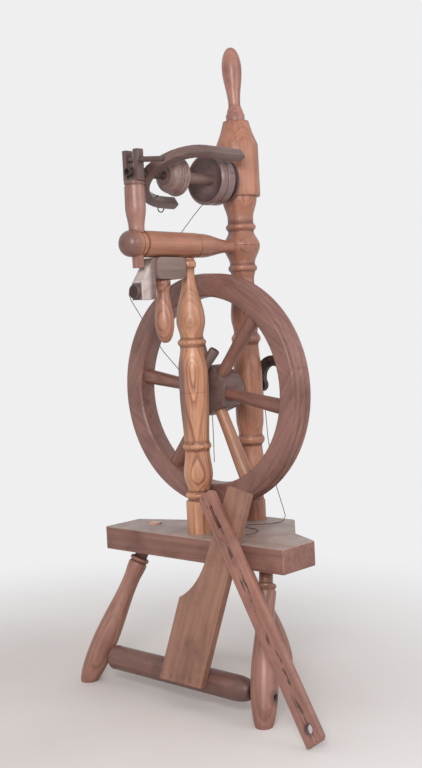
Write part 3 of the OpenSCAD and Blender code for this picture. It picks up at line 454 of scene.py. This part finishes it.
def turning(name, rows, place, finish, body, slot, *nodes, cuts=()):
    """A piece turned on a lathe: the outline spun about its length, put in place and cut at planes."""
    line = turned_line(rows)
    bm = bmesh.new()
    groove = bm.verts.layers.float.new("groove")
    verts = []
    for h, r in line:
        near = [q for p, q in line if abs(p - h) < groove_span and abs(q - r) < groove_span]
        vert = bm.verts.new((r / 1000, 0, h / 1000))
        vert[groove] = min(1.0, max(0.0, (sum(near) / len(near) - r) / groove_depth))
        verts.append(vert)
    edges = [bm.edges.new(pair) for pair in zip(verts, verts[1:])]
    bmesh.ops.spin(
        bm, geom=verts + edges, cent=(0, 0, 0), axis=(0, 0, 1), angle=2 * math.pi, steps=lathe_steps,
        use_merge=True,
    )
    bmesh.ops.remove_doubles(bm, verts=bm.verts, dist=0.000005)
    bmesh.ops.holes_fill(bm, edges=[e for e in bm.edges if e.is_boundary])
    bmesh.ops.recalc_face_normals(bm, faces=bm.faces)
    bmesh.ops.transform(bm, matrix=place, verts=bm.verts)
    for point, normal in cuts:
        everything = bm.verts[:] + bm.edges[:] + bm.faces[:]
        bmesh.ops.bisect_plane(bm, geom=everything, plane_co=point, plane_no=normal, clear_outer=True)
        bmesh.ops.holes_fill(bm, edges=[e for e in bm.edges if e.is_boundary])
    return finished(bm, name, finish, body, nodes)


def aimed(start, end):
    """The place of a length that is drawn up +Z, moved to run from one point towards another."""
    return Matrix.Translation(start) @ (end - start).to_track_quat("Z", "Y").to_matrix().to_4x4()


legs = [
    ("left_leg", (-211, -143, 0), (-136, -27, plank_top), 24, 276.5),
    ("right_leg", (195, -132, 0), (132, -30, plank_top), 35, None),
    ("rear_leg", (20, 140, 0), (-24, 36, plank_top), 30, 234),
]
for leg_name, leg_foot, leg_top, leg_ring, leg_end in legs:
    foot, top = spot(*leg_foot), spot(*leg_top)
    leg_wood = wood(
        leg_name + "_wood", (172, 123, 107), (106, 69, 57), leg_foot, way=(top - foot).normalized(),
        soil=0.4, rough=0.4,
    )
    t = leg_wood.node_tree
    leg_coords = object_coords(t)
    if leg_end is None:
        pin_off = distance(t, leg_coords, tuple(spot(205, -113.5, 43)))
        over(leg_wood, eased(t, pin_off, 0.006, 0.016, 0.8, 0), (70, 54, 54))
        rubbed_down("turned_" + leg_name, leg_name, leg_wood, "stand", edge=0.0008)
        continue
    whole = (top - foot).length * 1000
    drop = whole * plank_under / plank_top
    ring_at = drop - leg_ring
    turning(
        "turned_" + leg_name, [
            (-30, 8.5), (-6, 8.5), (drop * 0.28, 22.5, "rise"), (ring_at - 40, 14.8, "swell"),
            (ring_at - 9, 17, "swell"), (ring_at - 6.5, 16.2), (ring_at - 5, 14.2), (ring_at - 3.5, 15),
            (ring_at + 3.5, 15, 2.4), (ring_at + 5, 11.6), (drop + 7, 11.3), (drop + 7, 10.5),
            (whole + 30, 10.5),
        ], aimed(foot, top), leg_wood, "stand", "dark_wood", leg_name,
        cuts=[(foot, (0, 0, -1)), (spot(0, 0, leg_end), (0, 0, 1))],
    )
    tenon_end = eased(t, axes(t, leg_coords)[2], 0.272, 0.2735, 0, 0.8)
    over(leg_wood, tenon_end, (202, 154, 132))

# Front post
# A turned post of pale figured wood. Where the lathe has cut a bulb through the rings, the grain closes
# into ovals. A line is scored round it at the axle, and its top narrows to a tenon under the arm. Its left
# side is darker in streaks about the axle's height, and a dark peg is driven aslant into its back.
front_post_y = -47
axle_height = 517


def leftward(tree, vector):
    """How far a point lies towards the front left of the wheel, in metres."""
    return put(tree, "VectorMath", vector, (-0.733, -0.678, 0), operation="DOT_PRODUCT").outputs[1]


post_wood = wood(
    "front_post_wood", (216, 162, 127), (142, 89, 64), (0, front_post_y, 500), ring=3.1, figure=0.85,
    soil=0.3, rough=0.38,
)
t = post_wood.node_tree
post_coords = object_coords(t)
post_height = axes(t, post_coords)[2]
post_runs = noise(t, stretched(t, post_coords, (130, 130, 9)), 1, 3)
# Darker in streaks on the post's left side, about the axle's height.
post_left_streaks = product(
    t, eased(t, leftward(t, post_coords), 0.066, 0.08, 0, 1), eased(t, post_runs, 0.3, 0.6, 0.35, 0.9),
    eased(t, post_height, 0.42, 0.47, 0, 1), eased(t, post_height, 0.56, 0.61, 1, 0.25),
)
over(post_wood, post_left_streaks, (92, 68, 66))
over(post_wood, eased(t, post_height, 0.57, 0.63, 0, 0.25), (132, 90, 74))
turning("turned_front_post", [
    (plank_top, 23.5), (328, 24), (333, 19.5, "swell"), (337, 22), (344, 22, 1.6), (347, 19),
    (375, 25, "swell"), (417, 21.3, "swell"), (421, 23.1), (428, 23.1, 1.6), (432, 21.7),
    (axle_height - 0.6, 25.5, "swell"), (axle_height, 24.9), (axle_height + 0.6, 25.5), (557, 25.5),
    (595, 20.5, "swell"), (599, 22.9), (606, 22.9, 1.6), (610, 19.5), (639, 24.7, "swell"),
    (719, 10.5, "swell"), (728, 10.5), (731, 13), (740, 13, 0.8), (743, 11), (746, 11),
], Matrix.Translation(spot(0, front_post_y, 0)), post_wood, "stand", "pale_wood", "front_post")
post_peg_wood = wood(
    "post_peg_wood", (122, 98, 92), (76, 59, 55), (20, -31, 568), way=(0.54, 0.24, 0.81), ring=3,
    soil=0.5, rough=0.6,
)
turning("aslant_post_peg", [
    (0, 8.5), (50, 9.3), (53, 8.6), (54, 7),
], aimed(spot(4, -38, 545), spot(33.3, -25, 588.7)), post_peg_wood, "stand", "dusky_wood")

# Rear post
# A tall turned post in one length: vases and rings up to a ball that takes the arm, then a plain barrel
# that takes the spindle's rear end, tapered to a narrow shoulder. From above the wheel to the barrel's
# foot it is darker in blotches, and painted shade darkens its left side there, as if lit from the right.
rear_post_y = 95
rear_wood = wood(
    "rear_post_wood", (188, 131, 105), (126, 79, 61), (0, rear_post_y, 500), heart=(-60, 20, 0),
    figure=0.5, soil=0.4, rough=0.4,
)
t = rear_wood.node_tree
rear_coords = object_coords(t)
rear_height = axes(t, rear_coords)[2]
rear_part = product(t, eased(t, rear_height, 0.79, 0.86, 1, 0), eased(t, rear_height, 0.62, 0.69, 0, 1))
# Darker in blotches from above the wheel to the barrel's foot.
rear_blotches = eased(t, noise(t, rear_coords, 24, 4), 0.35, 0.65, 0, 0.3)
over(rear_wood, product(t, rear_blotches, rear_part), (106, 76, 72))
# Painted shade: the post's left side above the wheel is darkened, as if the light came from the right.
rear_left_painted_shade = eased(t, leftward(t, rear_coords), -0.028, -0.014, 0, 0.65)
over(rear_wood, product(t, rear_left_painted_shade, rear_part), (98, 73, 74))
turning("turned_rear_post", [
    (plank_top, 21), (308, 21), (312, 18.5, "swell"), (369, 24, "swell"), (410, 20, "swell"),
    (414, 22.5), (426, 22.5, 2.6), (429, 21.5), (457, 25, "swell"), (537, 26), (593, 22, "swell"),
    (597, 24), (609, 24, 2.4), (613, 21.5), (641, 25.5, "swell"), (711, 19.5, "swell"),
    (723, 22, "swell"), (725, 24), (734, 24, 2), (737, 22.5), (769.4, 32.8, "swell"), (770, 32.2),
    (770.6, 32.8), (796, 23, "swell"), (799, 25), (807, 25, 2), (810, 23), (818, 23), (854, 31, "swell"),
    (857, 31), (857, 37), (861, 38), (949, 37.5), (954, 35.5), (971, 28.6), (987, 24), (991, 23),
], Matrix.Translation(spot(0, rear_post_y, 0)), rear_wood, "stand", "ruddy_wood", "rear_post")

# Carrying handle
# A turned grip plugged into the top of the rear post, with a collar at its foot and a long pear shape
# above. It leans a little, and hands have darkened it.
handle_lean = math.radians(-2.3)
handle_wood = wood(
    "handle_wood", (184, 131, 115), (120, 78, 67), (0, rear_post_y, 1050), figure=0.35, soil=0.5,
    rough=0.34,
)
handle_place = Matrix.Translation(spot(0, rear_post_y, 991)) @ Matrix.Rotation(handle_lean, 4, "Y")
turning("turned_handle", [
    (-4, 8), (0.75, 8), (0.75, 16.4), (11, 17), (15, 14.6), (30, 10.8, "swell"), (94, 17.6, "swell"),
    (132, 1.5, "dome"),
], handle_place, handle_wood, "stand", "ruddy_wood", "post_handle")

# Arm
# A turned bar that reaches forward from the ball of the rear post over the front post. Its front end is
# domed and dark, with a bead behind it, and its rear end thins to a tenon.
arm_height = 768
arm_wood = wood(
    "arm_wood", (178, 125, 101), (120, 74, 58), (0, -100, arm_height), way=(0, 1, 0),
    heart=(-50, 0, -30), ring=3.6, figure=0.45, soil=0.35, rough=0.37,
)
t = arm_wood.node_tree
arm_along = axes(t, object_coords(t))[1]
over(arm_wood, eased(t, arm_along, -0.17, -0.149, 0.85, 0), (102, 74, 69))


def lengthways(x, y, z):
    """The place of a turning that is drawn up +Z and lies along +Y."""
    return Matrix.Translation(spot(x, y, z)) @ Matrix.Rotation(-math.pi / 2, 4, "X")


turning("turned_arm", [
    (0, 3), (17, 21.6, "rise"), (29, 21.7), (30, 19.6), (32, 19.6), (40, 19.8, 1.6), (42, 19.6),
    (43, 22), (164, 21.4), (165, 19.8), (168, 19.8), (169, 20.8), (180, 20.6), (251.2, 11, "swell"),
    (262, 11),
], lengthways(0, -195, arm_height), arm_wood, "stand", "ruddy_wood", "arm")

# Front maiden
# A turned upright plugged through the arm. Its head is flattened and slotted into a fork, which holds a
# block of leather for the spindle, kept down by a long peg through both prongs.
maiden_y = -163
maiden_wood = wood(
    "maiden_wood", (169, 123, 110), (101, 68, 60), (0, maiden_y, 840), figure=0.35, soil=0.55, rough=0.33,
)
t = maiden_wood.node_tree
maiden_height = axes(t, object_coords(t))[2]
over(maiden_wood, eased(t, maiden_height, 0.856, 0.872, 0, 0.88), (78, 60, 58))
rubbed_down("forked_maiden", "front_maiden", maiden_wood, "stand", edge=0.0009)
keeper_slope, keeper_back = math.radians(97), -0.0205
keeper_wood = wood(
    "keeper_wood", (112, 88, 83), (62, 47, 44), (0, maiden_y, 904), way=(1, 0, 0), heart=(0, 30, -30),
    soil=0.5, rough=0.42,
)
keeper_place = Matrix.Translation(spot(0, maiden_y, 904)) @ Matrix.Rotation(keeper_slope, 4, "Y")
keeper_place = keeper_place @ Matrix.Translation((0, 0, keeper_back))
turning("keeper_peg", [
    (0, 3.5), (2, 4.5), (89, 4.5), (92, 3),
], keeper_place, keeper_wood, "stand", "dusky_wood", "bearing_keeper")

# Leather bearings
# Layers of thick hide, black with oil. One block sits in the fork, and a lined bush sits in the rear
# post's barrel.
hide, t = empty_material("oiled_hide")
hide_coords = object_coords(t)
hide_pores = put(t, "TexVoronoi", hide_coords, None, 700).outputs[0]
hide_cloud = noise(t, hide_coords, 60, 4)
hide_shade = ramp(t, hide_cloud, (0.3, tint(58, 46, 42)), (0.7, tint(94, 78, 70)))
hide_bsdf = put(t, "BsdfPrincipled", hide_shade)
t.links.new(eased(t, hide_pores, 0, 0.6, 0.7, 0.45), hide_bsdf.inputs["Roughness"])
surfaced(t, hide_bsdf, hide_pores, 0.4, 0.0005)
rubbed_down("hide_block", "front_bearing", hide, "stand", edge=0.001)
rubbed_down("hide_bush", "rear_bearing", hide, "stand", edge=0.0006)

# Tension bracket
# A block of grey, dusty wood clamped under the arm, with a sawn tongue that slopes down in front to hold
# the peg.
bracket_wood = wood(
    "bracket_wood", (138, 115, 108), (87, 70, 66), (0, -117, 728), way=(0, 1, 0), heart=(-30, 0, -60),
    figure=0.3, soil=0.5, rough=0.62,
)
t = bracket_wood.node_tree
bracket_coords = object_coords(t)
bracket_along = axes(t, bracket_coords)[1]
bracket_dust = noise(t, bracket_coords, 70, 5)
bracket_pale = eased(t, bracket_along, -0.128, -0.136, 0, 1.3)
bracket_pale = maths(t, "MULTIPLY", bracket_pale, bracket_dust, clamp=True)
over(bracket_wood, bracket_pale, (204, 190, 186))
over(bracket_wood, eased(t, bracket_along, -0.1525, -0.1533, 0, 0.9), (92, 76, 74))
rubbed_down("clamped_bracket", "tension_bracket", bracket_wood, "stand", edge=0.0016)

# Hand screw
# A turned wooden screw with a stained collar and a pear-shaped grip. Its shank goes up through the
# bracket into the arm and holds the two together.
screw_wood = wood(
    "hand_screw_wood", (188, 136, 110), (123, 76, 60), (0, -110, 650), heart=(-30, 36, 0), ring=3,
    figure=0.8, soil=0.4, rough=0.36,
)
t = screw_wood.node_tree
screw_coords = object_coords(t)
screw_collar = eased(t, axes(t, screw_coords)[2], 0.694, 0.7, 0, 1)
screw_marks = eased(t, noise(t, screw_coords, 110, 2), 0.5, 0.56, 0, 0.8)
over(screw_wood, product(t, screw_collar, screw_marks), (84, 60, 55))
screw_place = Matrix.Translation(spot(0, -110, 709.65)) @ Matrix.Rotation(math.pi, 4, "X")
turning("turned_hand_screw", [
    (-20, 8), (0, 8), (0, 12.2), (2, 13.3), (11, 13.3), (14, 11.4), (21, 10.6, "swell"),
    (69.3, 16.2, "swell"), (105, 2, "dome"),
], screw_place, screw_wood, "hand_screw", "pale_wood", "hand_screw")

# Tension peg
# A short black turned peg, pushed into the front end of the bracket's tongue. The brake cord is hitched
# round its head.
peg_wood = wood(
    "peg_wood", (128, 105, 100), (74, 58, 55), (0, -180, 690), way=(0, 1, 0), ring=3, soil=0.6, rough=0.5,
)
peg_place = Matrix.Translation(spot(0, -170.35, 690.5)) @ Matrix.Rotation(math.pi / 2, 4, "X")
turning("turned_tension_peg", [
    (-24, 6), (0, 6), (0, 11), (1.5, 12), (5.5, 12), (7.5, 9.5, 0.5),
], peg_place, peg_wood, "tension_peg", "dusky_wood", "tension_peg")

# Rim
# Four felloes sawn from plank, with the grain straight across each, dowelled end to end and turned
# together. Two grooves for the band run round the tread, and the edges are moulded.
for felloe, middle in ((1, 55), (2, 145), (3, 235), (4, 325)):
    out = Vector((math.cos(math.radians(middle)), 0, math.sin(math.radians(middle))))
    chord = Vector((-out.z, 0, out.x))
    rim_wood = wood(
        f"rim_wood_{felloe}", (149, 107, 97), (92, 61, 54), 150 * out + Vector((0, 0, axle_height)),
        way=chord, heart=60 * out + Vector((0, 40 + 9 * felloe, 0)), ring=3.4, figure=0.32, soil=0.45,
        rough=0.42,
    )
    rubbed_down(f"sawn_felloe_{felloe}", f"felloe_{felloe}", rim_wood, "wheel", edge=0.0008)
rubbed_down("hidden_dowels", "rim_dowels", screw_wood, "wheel", edge=0.0005)

# Spokes
# Six plain turned spokes, thickest at the rim, driven into the hub's flats and the felloes. The one at
# the lower right is a paler replacement.
spoke_angles = [-10, 50, 109, 171, 234, 295]
old_spoke, new_spoke = ((146, 101, 88), (91, 58, 48)), ((182, 133, 105), (127, 83, 63))
hub_middle = (0, 0, axle_height)
for number, angle in enumerate(spoke_angles, 1):
    way = Vector((math.cos(math.radians(angle)), 0, math.sin(math.radians(angle))))
    pale, deep = new_spoke if number == 6 else old_spoke
    spoke_wood = wood(
        f"spoke_wood_{number}", pale, deep, hub_middle, way=way, ring=3.4, soil=0.35, rough=0.42,
    )
    turning(
        f"turned_spoke_{number}", [(30, 10.5), (51, 10.5), (165, 13, "swell"), (168, 13)],
        aimed(spot(*hub_middle), spot(*hub_middle) + way), spoke_wood, "wheel", "ruddy_wood",
        f"spoke_{number}",
    )

# Hub
# A six-sided block of dark wood on the axle, with a spoke driven into each flat, and a round collar and
# boss turned behind it.
hub_wood = wood(
    "hub_wood", (126, 98, 92), (74, 56, 52), (0, 20, axle_height), way=(0, 1, 0), heart=(10, 0, 14),
    ring=3.2, figure=0.45, soil=0.5,
)
rubbed_down("six_sided_hub", "hub", hub_wood, "wheel", edge=0.0018, segments=3)

# Axle, bushes and crank
# Forged iron, black with rust-brown patches. The axle runs in iron bushes in both posts, and a flat crank
# is bent over behind the rear post, with a pin at its end.
iron, t = empty_material("forged_iron")
iron_coords = object_coords(t)
iron_rust = noise(t, iron_coords, 75, 6, 0.65)
iron_pits = noise(t, iron_coords, 420, 3)
iron_bsdf = put(t, "BsdfPrincipled", ramp(
    t, iron_rust, (0.35, tint(62, 55, 53)), (0.55, tint(80, 67, 63)), (0.75, tint(108, 75, 60)),
))
t.links.new(eased(t, iron_rust, 0.4, 0.65, 0.75, 0.15), iron_bsdf.inputs["Metallic"])
t.links.new(eased(t, iron_rust, 0.35, 0.7, 0.42, 0.8), iron_bsdf.inputs["Roughness"])
surfaced(t, iron_bsdf, iron_pits, 0.35, 0.0005)
rubbed_down("iron_axle", "axle", iron, "wheel", edge=0.0008)
rubbed_down("bent_crank", "crank", iron, "wheel", edge=0.0022, segments=3)
rubbed_down("front_bush", "front_axle_bush", iron, "stand", edge=0.0006)
rubbed_down("rear_bush", "rear_axle_bush", iron, "stand", edge=0.0006)

# Flyer
# A bow of dark wood, bent round the iron spindle, with one arm broken shorter than the other. A wire ring
# and a wire stub are left of its hooks. The spindle's front end is bored for the yarn.
spindle_height = 883
bow_wood = wood(
    "flyer_wood", (124, 95, 90), (72, 54, 50), (0, -60, spindle_height), way=(0, 1, 0),
    heart=(-20, 0, 50), ring=3.4, figure=0.4, soil=0.4, rough=0.36,
)
rubbed_down("bent_flyer_bow", "flyer_bow", bow_wood, "flyer", edge=0.0068, segments=5)
rubbed_down("bored_spindle", "spindle", iron, "flyer", edge=0.0007)
rubbed_down("wire_hooks", "flyer_hooks", iron, "flyer", edge=0.0002)

# Bobbin
# A thin barrel between a ringed bell in front and a dished whorl behind. The whorl has two broad rims
# and, behind them, a deep groove for the brake cord.
bell_wood = wood(
    "bell_wood", (150, 121, 115), (92, 71, 67), (0, -76, spindle_height), way=(0, 1, 0),
    heart=(-14, 0, 12), ring=2.6, figure=0.3, soil=0.4, rough=0.42,
)
turning("ringed_bell", [
    (-8, 6.4), (-7, 9), (9.5, 29, "rise"), (10.3, 28.2), (14, 29.5, 1), (15, 29), (19, 31.3, 1),
    (20, 30.8), (25, 32.3, 1.5), (24, 9.1),
], lengthways(0, -88, spindle_height), bell_wood, "bobbin", "dusky_wood", "bobbin_bell")
whorl_wood = wood(
    "whorl_wood", (138, 110, 107), (84, 65, 63), (0, 30, spindle_height), way=(0, 1, 0),
    heart=(-14, 0, 18), ring=3, figure=0.35, soil=0.4, rough=0.36,
)
turning("grooved_whorl", [
    (15, 9.1), (2, 38), (0, 41), (3, 44), (13, 44), (15, 42), (17, 42), (18.5, 43.5), (32, 43.5),
    (35, 41), (39, 34), (43, 26), (46, 26), (48, 36), (49, 38), (50, 38), (50, 9.1),
], lengthways(0, 5, spindle_height), whorl_wood, "bobbin", "dusky_wood", "bobbin_whorl")
rubbed_down("bobbin_core", "bobbin_barrel", bell_wood, "bobbin", edge=0.0004)

# Treadle
# A turned bar on two iron pins between the front legs, with a board pegged to it. The board has a broad
# foot rest and a coved shoulder to a narrow tail, and is folded up against the table's front edge.
bar_y, bar_height = -113.5, 44
bar_wood = wood(
    "treadle_bar_wood", (131, 93, 83), (80, 52, 46), (0, bar_y, bar_height), way=(1, 0, 0),
    heart=(0, 50, -30), figure=0.4, soil=0.5,
)
t = bar_wood.node_tree
bar_along = axes(t, object_coords(t))[0]
over(bar_wood, eased(t, bar_along, 0.06, 0.1, 0, 0.5), (82, 62, 58))
bar_place = Matrix.Translation(spot(-168.21, bar_y, bar_height)) @ Matrix.Rotation(math.pi / 2, 4, "Y")
turning("turned_treadle_bar", [
    (0, 16), (8, 21, 1.5), (292.02, 21), (326.02, 9, "dome"),
], bar_place, bar_wood, "treadle", "dark_wood", "treadle_bar")
board_lean = math.radians(10.96)
board_turn = (board_lean, math.radians(-12.4), 0)
board_wood = wood(
    "treadle_board_wood", (159, 116, 97), (105, 70, 56), (31, -110, 150), turn=board_turn,
    heart=(20, 90, 0), ring=5, figure=0.4, soil=0.5, rough=0.5,
)
rubbed_down(
    "coved_treadle_board", "treadle_board", board_wood, "treadle", edge=0.0018, segments=3,
)
rubbed_down("bar_pins", "treadle_pins", iron, "treadle", edge=0.0006)
board_peg_wood = wood(
    "board_peg_wood", (142, 102, 86), (92, 62, 51), (30, -120, bar_height), way=(0, 1, 0), ring=2, soil=0.6,
)
rubbed_down("board_pegs", "treadle_pegs", board_peg_wood, "treadle", edge=0.0004)

# Footman
# A flat sawn stick, loose from the crank and leaned on the treadle board. It has a round hole low down, a
# narrow slot near the top, and dark cracks along its middle, and its lower end is dark from the floor.
footman_turn = (board_lean, math.radians(36.8), 0)
footman_hole = spot(306.22, -156.42, 29.32)
footman_wood = wood(
    "footman_wood", (168, 119, 103), (115, 75, 64), (306, -156, 29), turn=footman_turn,
    heart=(30, 80, 40), ring=4.5, figure=0.35, soil=0.5, rough=0.5,
)
t = footman_wood.node_tree
footman_coords = object_coords(t)
footman_laid = put(t, "Mapping", footman_coords, None, footman_turn).outputs[0]
footman_middle = (Euler(footman_turn).to_matrix() @ footman_hole).x
over(footman_wood, eased(t, axes(t, footman_coords)[2], 0.04, 0.2, 0.3, 0), (130, 99, 96))
crack_off = maths(t, "ABSOLUTE", maths(t, "SUBTRACT", axes(t, footman_laid)[0], footman_middle))
cracks = noise(t, stretched(t, footman_laid, (170, 170, 38)), 1, 4, 0.62)
cracks = maths(t, "SUBTRACT", cracks, eased(t, crack_off, 0.004, 0.009, 0, 0.2))
over(footman_wood, eased(t, cracks, 0.46, 0.58, 0, 0.4), (112, 76, 68))
over(footman_wood, eased(t, cracks, 0.545, 0.59, 0, 0.9), (66, 50, 40))
hole_off = distance(t, footman_coords, tuple(footman_hole))
over(footman_wood, eased(t, hole_off, 0.0085, 0.0125, 0.8, 0), (78, 56, 52))
rubbed_down("flat_footman", "footman", footman_wood, "footman", edge=0.0015, wear=0.2)
